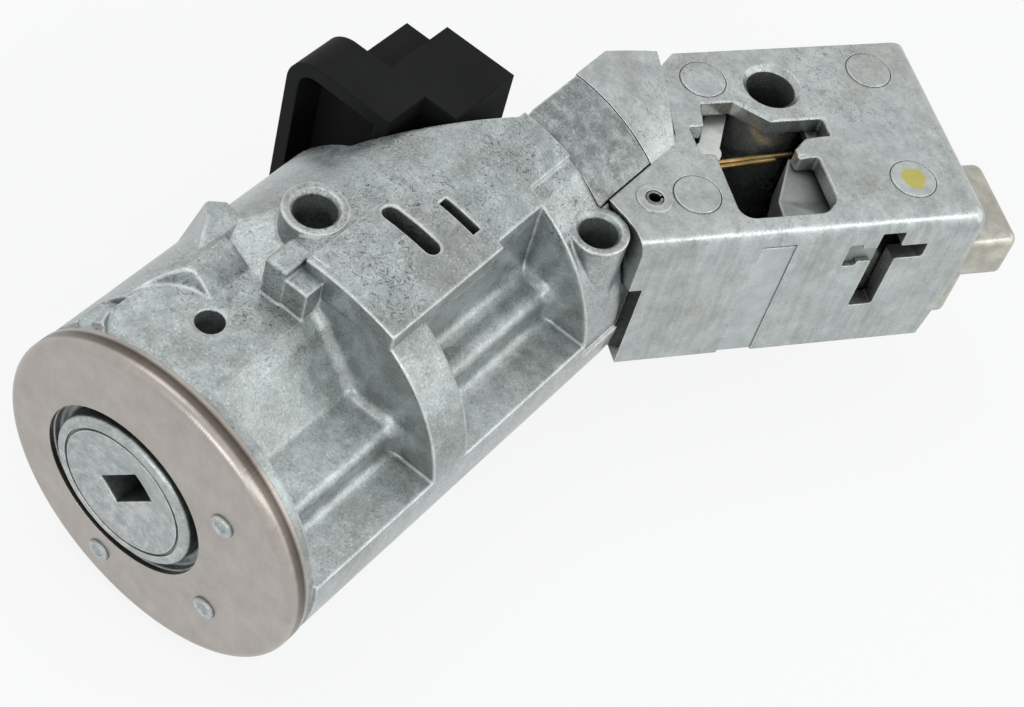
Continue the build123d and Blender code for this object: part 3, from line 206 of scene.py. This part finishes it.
def streaked(tree, colour, place, streaks):
    """Long fine streaks of rolling, drawing or machining; gives the colour and the streaks' height."""
    stretch = add_node(tree, "ShaderNodeMapping", {"Scale": [1 / (size * MM) for size in streaks[:3]]},
                       {"Vector": place})
    streak = add_node(tree, "ShaderNodeTexNoise", {"Scale": 1.0, "Detail": 3.0, "Roughness": 0.6},
                      {"Vector": stretch.outputs["Vector"]}).outputs["Fac"]
    colour = add_node(tree, "ShaderNodeMix",
                      {"data_type": "RGBA", "blend_type": "SOFT_LIGHT", "Factor": streaks[3]},
                      {"A": colour, "B": streak}).outputs["Result"]
    return colour, streak


def edge_wear_and_highlight(tree, colour, soft_edge, spots, shine):
    """Edges that handling has worn bright, lightened further as painted highlights along the edges."""
    geometry = add_node(tree, "ShaderNodeNewGeometry")
    facing = add_node(tree, "ShaderNodeVectorMath", {"operation": "DOT_PRODUCT"},
                      {0: soft_edge, 1: geometry.outputs["Normal"]})
    near_edge = add_node(tree, "ShaderNodeMapRange", {"From Min": 0.96, "From Max": 0.78, "To Max": shine},
                         {"Value": facing.outputs["Value"]})
    bright = add_node(tree, "ShaderNodeMath", {"operation": "MULTIPLY", "use_clamp": True},
                      {0: near_edge.outputs["Result"], 1: spots})
    return add_node(tree, "ShaderNodeMix", {"data_type": "RGBA", "B": linear(EDGE_WEAR_HIGHLIGHT)},
                    {"Factor": bright.outputs["Value"], "A": colour}).outputs["Result"]


def painted_shade(tree, colour, reach, start, end, darkest):
    """Painted shade where surfaces within reach, in millimetres, close in: corners and hollows are coloured
    darker.
    """
    openness = add_node(tree, "ShaderNodeAmbientOcclusion", {"samples": 4, "Distance": reach * MM})
    light = add_node(tree, "ShaderNodeMapRange",
                     {"From Min": start, "From Max": end, "To Min": darkest, "To Max": 1.0},
                     {"Value": openness.outputs["AO"]})
    return add_node(tree, "ShaderNodeMix", {"data_type": "RGBA", "blend_type": "MULTIPLY", "Factor": 1.0},
                    {"A": colour, "B": light.outputs["Result"]}).outputs["Result"]


def dabbed(tree, colour, place, spots, paint):
    """One ragged dab of paint: its place and radius in millimetres, and its colour."""
    middle, radius, tone = paint
    away = add_node(tree, "ShaderNodeVectorMath", {"operation": "DISTANCE", 1: [c * MM for c in middle]},
                    {0: place})
    ragged = add_node(tree, "ShaderNodeMath", {"operation": "MULTIPLY_ADD", 1: DAB_FRINGE * MM},
                      {0: spots, 2: away.outputs["Value"]})
    dab = add_node(tree, "ShaderNodeMapRange",
                   {"From Min": (radius + 1.0) * MM, "From Max": (radius + 0.6) * MM, "To Max": 0.8},
                   {"Value": ragged.outputs["Value"]})
    return add_node(tree, "ShaderNodeMix", {"data_type": "RGBA", "B": linear(tone)},
                    {"Factor": dab.outputs["Result"], "A": colour}).outputs["Result"]


def metal(name, tones, metallic, rough, mottle=1.3, hairs=0.0, specks=0.3, edge=0.4, shine=0.85,
          tinge=None, streaks=None, paint=None, shade=(0.5, 0.25, 0.5), relief=0.3, reflection_bands=None):
    """A metal skin: mottled tones, pits, painted glints, scratches, edges worn and painted bright, painted
    shade in corners.

    Mottle is the size of its spots and edge the radius of its edges, in millimetres. Streaks, where
    given, are (size along X, Y and Z, strength), and paint is (place, radius, colour) of one dab. Shade
    is how dark the painted shade of corners and deep hollows gets and where hollows begin, and
    reflection_bands are the tones of a painted reflection by depth along Y.
    """
    material, tree, shader = new_surface(name)
    place = add_node(tree, "ShaderNodeTexCoord").outputs["Object"]
    axes = add_node(tree, "ShaderNodeSeparateXYZ", {}, {0: place}).outputs
    clouds = add_node(tree, "ShaderNodeTexNoise", {"Scale": 1 / (CLOUD_SIZE * MM), "Detail": 3.0},
                      {"Vector": place}).outputs["Fac"]
    spots = add_node(tree, "ShaderNodeTexNoise",
                     {"Scale": 1 / (mottle * MM), "Detail": 7.0, "Roughness": 0.66},
                     {"Vector": place}).outputs["Fac"]
    grain = add_node(tree, "ShaderNodeTexNoise",
                     {"Scale": 1 / (GRAIN_SIZE * MM), "Detail": 3.0, "Roughness": 0.65},
                     {"Vector": place}).outputs["Fac"]
    soft_edge = add_node(tree, "ShaderNodeBevel", {"samples": 6, "Radius": edge * MM}).outputs["Normal"]
    swells = spots

    colour = mottled(tree, place, clouds, spots, tones, tinge)
    # pits, and painted glints as bright points
    colour = speckled(tree, colour, grain, specks)
    # painted reflection: tones by depth along Y, such as a dark reflection band across the ring's flange
    if reflection_bands:
        colour = painted_reflection(tree, colour, axes["Y"], reflection_bands)
    if hairs:
        colour = scratched(tree, colour, place, axes["Z"], clouds, hairs)
    if streaks:
        colour, swells = streaked(tree, colour, place, streaks)
    # edges worn bright by handling, and painted highlights along the edges
    colour = edge_wear_and_highlight(tree, colour, soft_edge, spots, shine)
    corner_shade, hollow_shade, hollow_start = shade
    # painted shade: corners and deep hollows are coloured darker where shade falls
    colour = painted_shade(tree, colour, CORNER_SHADE_REACH, start=0.2, end=0.85, darkest=corner_shade)
    colour = painted_shade(tree, colour, HOLLOW_SHADE_REACH, start=0.1, end=hollow_start, darkest=hollow_shade)
    if paint:
        colour = dabbed(tree, colour, place, spots, paint)
    tree.links.new(colour, shader.inputs["Base Color"])

    gloss = add_node(tree, "ShaderNodeMapRange",
                     {"From Min": 0.35, "From Max": 0.7, "To Min": rough[0], "To Max": rough[1]},
                     {"Value": spots})
    tree.links.new(gloss.outputs["Result"], shader.inputs["Roughness"])
    shader.inputs["Metallic"].default_value = metallic
    swell = add_node(tree, "ShaderNodeBump", {"Strength": relief, "Distance": SWELL_HEIGHT * MM},
                     {"Height": swells, "Normal": soft_edge})
    pitting = add_node(tree, "ShaderNodeBump", {"Strength": relief, "Distance": GRAIN_HEIGHT * MM},
                       {"Height": grain, "Normal": swell.outputs["Normal"]})
    tree.links.new(pitting.outputs["Normal"], shader.inputs["Normal"])
    return material


def moulded_nylon(name, tones, rough):
    """Dull moulded nylon, a little cloudy, with a fine grain and soft edges."""
    material, tree, shader = new_surface(name)
    place = add_node(tree, "ShaderNodeTexCoord").outputs["Object"]
    grain = add_node(tree, "ShaderNodeTexNoise", {"Scale": 1 / (NYLON_GRAIN_SIZE * MM), "Detail": 2.0},
                     {"Vector": place})
    clouds = add_node(tree, "ShaderNodeTexNoise", {"Scale": 1 / (NYLON_CLOUD_SIZE * MM), "Detail": 3.0},
                      {"Vector": place})
    colour = add_node(tree, "ShaderNodeValToRGB",
                      {"stops": [(0.3, linear(tones[0])), (0.7, linear(tones[1]))]},
                      {"Fac": clouds.outputs["Fac"]})
    tree.links.new(colour.outputs["Color"], shader.inputs["Base Color"])
    gloss = add_node(tree, "ShaderNodeMapRange", {"To Min": rough - 0.08, "To Max": rough + 0.08},
                     {"Value": clouds.outputs["Fac"]})
    tree.links.new(gloss.outputs["Result"], shader.inputs["Roughness"])
    shader.inputs["Specular IOR Level"].default_value = 0.07
    soft_edge = add_node(tree, "ShaderNodeBevel", {"samples": 6, "Radius": 0.45 * MM})
    bump = add_node(tree, "ShaderNodeBump", {"Strength": 0.3, "Distance": 0.04 * MM},
                    {"Height": grain.outputs["Fac"], "Normal": soft_edge.outputs["Normal"]})
    tree.links.new(bump.outputs["Normal"], shader.inputs["Normal"])
    return material


# Zinc die casting, tumbled: cool mottled grey with dark hair scratches, edges worn bright and painted with
# highlights, a brownish tinge
zinc = metal("zinc_die_casting", ("97A0A0", "A6AEAE", "B7BFBF"), metallic=0.72, rough=(0.26, 0.42),
             mottle=2.3, hairs=0.85, specks=0.44, edge=0.9, shine=1.7, tinge="DAD3CC",
             shade=(0.58, 0.6, 0.35), relief=0.16)
# Zinc die casting of the collar: coloured darker than the barrel's
collar_zinc = metal("zinc_collar_casting", ("737A79", "8D9493", "A9B0AF"), metallic=0.68,
                    rough=(0.26, 0.42), mottle=2.0, hairs=0.8, specks=0.4, edge=0.7, shine=1.8,
                    tinge="D8D0C8", relief=0.18)
# Zinc die casting of the lock box: smoother and paler, with upright streaks on its walls
BOX_TONES = ("A2A9A8", "B0B7B6", "BCC3C2")
box_zinc = metal("zinc_box_casting", BOX_TONES, metallic=0.74, rough=(0.2, 0.36), mottle=3.4, hairs=0.5,
                 specks=0.18, shine=1.3, tinge="E6E1DB", streaks=(0.8, 0.8, 14.0, 0.45),
                 shade=(0.5, 0.08, 0.62), relief=0.2)
# Zinc inside the window: smooth, dull and little worn, with darker tones as painted shade of the window's
# inside
web_zinc_shaded = metal("zinc_inner_web_painted_shade", ("7C8180", "8B908F", "9A9F9E"), metallic=0.6, rough=(0.34, 0.44),
                 mottle=5.0, specks=0.05, edge=0.8, shade=(0.6, 0.35, 0.5), relief=0.1)
# Zinc strip of the near wall that the die left smooth: even and silky
strip_zinc = metal("zinc_smooth_strip", BOX_TONES, metallic=0.6, rough=(0.24, 0.3), mottle=5.0,
                   specks=0.08, edge=0.8, shine=1.3, relief=0.1)
# Zinc staked head of the lock box, with a thin dab of yellow inspection paint
painted_zinc = metal("zinc_stake_painted", BOX_TONES, metallic=0.7, rough=(0.3, 0.42), mottle=2.2,
                     specks=0.2, paint=(STAKE_PLACE, 2.1, "BDB03A"))
# Satin stainless sheet of the cover ring: warm grey, with a painted dark reflection across the flange
# between the bright fold and the bright rim
ring_steel = metal("satin_stainless_sheet", ("A39D97", "ABA59F", "B3ADA7"), metallic=0.93,
                   rough=(0.27, 0.34), mottle=5.0, specks=0.05, edge=0.2, shine=0.3,
                   streaks=(0.25, 6.0, 6.0, 0.12),
                   reflection_bands=(4.0, ((0.0, "FFFFFF"), (1.1, "FFFFFF"), (1.6, "A8A19C"), (2.6, "75706D"),
                                (3.1, "F6F4F2"))))
# Turned steel of the key rotor: brighter than the castings, with fewer pits
rotor_steel = metal("turned_steel", ("959C9C", "A9AFAE", "C0C5C4"), metallic=0.85, rough=(0.3, 0.42),
                    mottle=1.8, specks=0.25, edge=0.5, shine=1.5, shade=(0.5, 0.05, 0.7), relief=0.2)
# Machined steel of the bolt: warmer than the zinc, with fine tool marks along its sides
bolt_steel = metal("machined_steel", ("A19F95", "B4B2A8", "C8C6BC"), metallic=0.85, rough=(0.26, 0.36),
                   mottle=4.0, specks=0.08, edge=0.5, streaks=(4.0, 4.0, 0.3, 0.2),
                   shade=(0.4, 0.03, 0.85))
# Rolled sheet steel of the guide plate: even and bright
plate_steel = metal("rolled_steel_sheet", ("8E9494", "A6ABAB", "C0C5C5"), metallic=0.9,
                    rough=(0.24, 0.34), mottle=3.0, specks=0.1, edge=0.2)
# Blanked steel of the blocking lever: pale steel, painted paler still as light on it in the window, with
# little painted shade
lever_steel_painted_light = metal("blanked_steel_painted_light", ("C6C8C4", "D6D8D4", "E6E7E3"), metallic=0.7, rough=(0.3, 0.4),
                    mottle=3.0, specks=0.05, edge=0.2, shade=(0.9, 0.85, 0.5), relief=0.1)
# Drawn spring steel: dark and glossy
spring_steel = metal("drawn_spring_steel", ("55585A", "7A7D7F", "A0A3A4"), metallic=0.9,
                     rough=(0.22, 0.34), mottle=1.5, edge=0.1)
# Brass, drawn or stamped: warm and clean
brass = metal("bright_brass", ("8A6E44", "A98B58", "C9AE7C"), metallic=0.85, rough=(0.26, 0.34),
              mottle=4.0, specks=0.0, edge=0.05, shade=(0.8, 0.6, 0.5), relief=0.03)
# Black moulded nylon of the contact block: dull, almost without highlights
black_nylon = moulded_nylon("black_nylon", ("181919", "1F2020"), rough=0.55)
# The contact drum's nylon: a little paler
drum_nylon = moulded_nylon("drum_nylon", ("1C1C1E", "28282A"), rough=0.5)

FINISH = {
    "zinc_cast": zinc, "ring_steel": ring_steel, "rotor_metal": rotor_steel, "bolt_steel": bolt_steel,
    "plate_steel": plate_steel, "pin_steel": spring_steel, "spring_wire": spring_steel,
    "brass_wire": brass, "brass_contact": brass, "black_plastic": black_nylon,
    "drum_plastic": drum_nylon,
}
OWN_FINISH = {
    "collar_plate": collar_zinc, "blocking_lever": lever_steel_painted_light, "lock_box": box_zinc,
    "lock_box_base": box_zinc, "box_rivet_1": box_zinc, "box_rivet_2": box_zinc,
    "box_rivet_3": box_zinc, "box_rivet_4": painted_zinc, "cover_rivet_1": zinc,
    "cover_rivet_2": zinc, "cover_rivet_3": zinc,
}
slots = {part["node"]: part["material_slot"] for part in frame["record"]["subparts"]}
for name, node in nodes.items():
    node.data.materials.clear()
    node.data.materials.append(OWN_FINISH.get(name, FINISH[slots[name]]))


# Forms that the scene adds

def add_piece(name, bm, surface, size=MM):
    """A new piece of the housing made from a bmesh, in millimetres unless size says otherwise."""
    bmesh.ops.recalc_face_normals(bm, faces=bm.faces[:])
    bmesh.ops.scale(bm, vec=(size, size, size), verts=bm.verts[:])
    mesh = bpy.data.meshes.new(name)
    bm.to_mesh(mesh)
    bm.free()
    mesh.materials.append(surface)
    piece = bpy.data.objects.new(name, mesh)
    bpy.context.scene.collection.objects.link(piece)
    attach(piece, "housing")
    return piece


def skirt(bm, faces, low):
    """Carries faces straight down to a level and closes them there."""
    made = bmesh.ops.extrude_face_region(bm, geom=faces)
    for part in made["geom"]:
        if isinstance(part, bmesh.types.BMVert):
            part.co.z = low


def pad_top(x):
    """The raised pad is flatter than the barrel, so its right side stands clear of it."""
    return PAD_CREST - PAD_CURVE * (x - PAD_MIDDLE) ** 2


def slot_outline(x0, x1, y, width, ends):
    """The outline of a slot along X, with round or square ends."""
    half = width / 2
    if not ends:
        return [(x0, y - half), (x1, y - half), (x1, y + half), (x0, y + half)]
    arc = [math.pi * step / ends for step in range(ends + 1)]
    right = [(x1 + half * math.sin(a), y - half * math.cos(a)) for a in arc]
    left = [(x0 - half * math.sin(a), y + half * math.cos(a)) for a in arc]
    return right + left


def raised_pad():
    """The raised pad with its two slots, between the two pockets."""
    bm = bmesh.new()
    outlines = [
        [(PAD_LEFT, PAD_START), (PAD_RIGHT, PAD_START), (PAD_RIGHT, PAD_END), (PAD_LEFT, PAD_END)],
        slot_outline(*ROUND_SLOT), slot_outline(*SQUARE_SLOT)]
    for outline in outlines:
        corners = [bm.verts.new((x, y, 0.0)) for x, y in outline]
        for start, end in zip(corners, corners[1:] + corners[:1]):
            bm.edges.new((start, end))
    bmesh.ops.triangle_fill(bm, use_beauty=True, edges=bm.edges[:])
    for step in range(1, PAD_STRIPS):
        x = PAD_LEFT + (PAD_RIGHT - PAD_LEFT) * step / PAD_STRIPS
        bmesh.ops.bisect_plane(bm, geom=bm.verts[:] + bm.edges[:] + bm.faces[:], plane_co=(x, 0, 0),
                               plane_no=(1, 0, 0))
    for vert in bm.verts:
        vert.co.z = pad_top(vert.co.x)
    skirt(bm, bm.faces[:], PAD_FOOT)
    add_piece("raised_pad", bm, zinc)


def lock_frame(u, w, z):
    """A point given along and across the lock box, in the part's frame."""
    return (u * math.cos(BOX_TURN) - w * math.sin(BOX_TURN),
            u * math.sin(BOX_TURN) + w * math.cos(BOX_TURN), z)


def window_web():
    """The smooth sloping web of the casting under the window's right side."""
    bm = bmesh.new()
    crest = [bm.verts.new(lock_frame(u, w, WEB_TOP)) for u, w in WEB_CREST]
    fall = [bm.verts.new(lock_frame(WEB_FALL_END, w, z)) for w, z in WEB_FALL]
    faces = [bm.faces.new(corners) for corners in zip(crest, crest[1:], fall[1:], fall)]
    skirt(bm, faces, WEB_FOOT)
    # the web's darker zinc is painted shade under the window's lid
    add_piece("window_web", bm, web_zinc_shaded)


def smooth_strip():
    """The smooth strip that lies in the shallow groove of the near wall."""
    bm = bmesh.new()
    corners = [(STRIP_START, STRIP_BACK), (STRIP_END, STRIP_BACK), (STRIP_END, STRIP_FACE),
               (STRIP_START, STRIP_FACE)]
    bm.faces.new([bm.verts.new(lock_frame(u, w, STRIP_TOP)) for u, w in corners])
    skirt(bm, bm.faces[:], STRIP_FOOT)
    add_piece("smooth_strip", bm, strip_zinc)


def squeezed_spring():
    """The bolt's return spring, which on the lock shortens when the bolt is drawn in; here a welded copy of
    the part's mesh at one length.
    """
    bm = bmesh.new()
    bm.from_mesh(nodes["bolt_spring"].data)
    bmesh.ops.remove_doubles(bm, verts=bm.verts[:], dist=WELD * MM)
    coil = add_piece("return_spring", bm, spring_steel, size=1.0)
    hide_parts("bolt_spring")
    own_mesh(coil)


raised_pad()
window_web()
smooth_strip()
squeezed_spring()


# Floor, light and camera

def seen_directly(tree, share):
    """How much of the white background a ray sees: camera, glossy and transmission rays see it."""
    path = add_node(tree, "ShaderNodeLightPath")
    either = add_node(tree, "ShaderNodeMath", {"operation": "MAXIMUM"},
                      {0: path.outputs["Is Camera Ray"], 1: path.outputs["Is Glossy Ray"]})
    any_ray = add_node(tree, "ShaderNodeMath", {"operation": "MAXIMUM"},
                       {0: either.outputs["Value"], 1: path.outputs["Is Transmission Ray"]})
    return add_node(tree, "ShaderNodeMath", {"operation": "MULTIPLY", 1: share},
                    {0: any_ray.outputs["Value"]}).outputs["Value"]


def floor_paint():
    """A pale matt floor that reads white and keeps a soft shadow."""
    material, tree, shader = new_surface("matt_floor_paint")
    shader.inputs["Base Color"].default_value = linear("DDE3E4")
    shader.inputs["Roughness"].default_value = 0.9
    glow = add_node(tree, "ShaderNodeEmission", {"Color": linear("FFFFFF"), "Strength": 1.0})
    mix = add_node(tree, "ShaderNodeMixShader", {},
                   {0: seen_directly(tree, 0.85), 1: shader.outputs["BSDF"], 2: glow.outputs["Emission"]})
    tree.links.new(mix.outputs["Shader"], tree.nodes["Material Output"].inputs["Surface"])
    return material


bpy.ops.mesh.primitive_plane_add(size=3.0, location=(0, 0.06, FLOOR_LEVEL * MM))
floor = bpy.context.object
floor.name = "floor"
floor.data.materials.append(floor_paint())


def light_tent():
    """A soft light tent whose white shows to the camera and in the metal."""
    world = bpy.data.worlds.new("light_tent")
    bpy.context.scene.world = world
    world.use_nodes = True
    tree = world.node_tree
    sky = tree.nodes["Background"]
    sky.inputs["Color"].default_value = grey(0.6)
    white = add_node(tree, "ShaderNodeBackground", {"Color": grey(1.0), "Strength": 1.0})
    mix = add_node(tree, "ShaderNodeMixShader", {},
                   {0: seen_directly(tree, 1.0), 1: sky.outputs["Background"],
                    2: white.outputs["Background"]})
    tree.links.new(mix.outputs["Shader"], tree.nodes["World Output"].inputs["Surface"])


light_tent()

MIDDLE = Vector((0.02, 0.06, 0.0))


def soft_lamp(name, place, size, power):
    """A rectangular soft box that faces the part's middle; places and sizes are in metres."""
    data = bpy.data.lights.new(name, "AREA")
    data.shape = "RECTANGLE"
    data.size = size[0]
    data.size_y = size[1]
    data.energy = power
    lamp = bpy.data.objects.new(name, data)
    bpy.context.scene.collection.objects.link(lamp)
    lamp.location = place
    lamp.rotation_euler = (MIDDLE - Vector(place)).to_track_quat("-Z", "Y").to_euler()


soft_lamp("key_light", place=(-0.3, 0.1, 0.75), size=(0.5, 0.5), power=1.0)
soft_lamp("front_light", place=(0.2, -0.75, 0.4), size=(0.5, 0.4), power=1.5)
soft_lamp("side_light", place=(0.72, 0.52, 0.22), size=(1.0, 0.6), power=1.7)
soft_lamp("strip_light", place=(0.42, -0.04, 0.27), size=(0.6, 0.04), power=0.5)

# The photograph's view: axes of the image in the part's frame
IMAGE_RIGHT = Vector((0.766199, 0.609919, 0.20233))
IMAGE_DOWN = Vector((0.587774, -0.537917, -0.604291))
FORWARD = Vector((-0.259732, 0.581931, -0.770646))
CAMERA_PLACE = Vector((105.812, -135.247, 258.379)) * MM
FOCAL_PIXELS = 2200.0
IMAGE_WIDTH = 1024.0
camera_data = bpy.data.cameras.new("photo_camera")
camera_data.sensor_width = 36.0
camera_data.lens = camera_data.sensor_width * FOCAL_PIXELS / IMAGE_WIDTH
camera_data.clip_start = 0.01
camera_data.clip_end = 10.0
camera = bpy.data.objects.new("photo_camera", camera_data)
bpy.context.scene.collection.objects.link(camera)
turn = Matrix((IMAGE_RIGHT, -IMAGE_DOWN, -FORWARD)).transposed()
camera.matrix_world = Matrix.Translation(CAMERA_PLACE) @ turn.to_4x4()
bpy.context.scene.camera = camera

bpy.context.scene.view_settings.view_transform = "Standard"
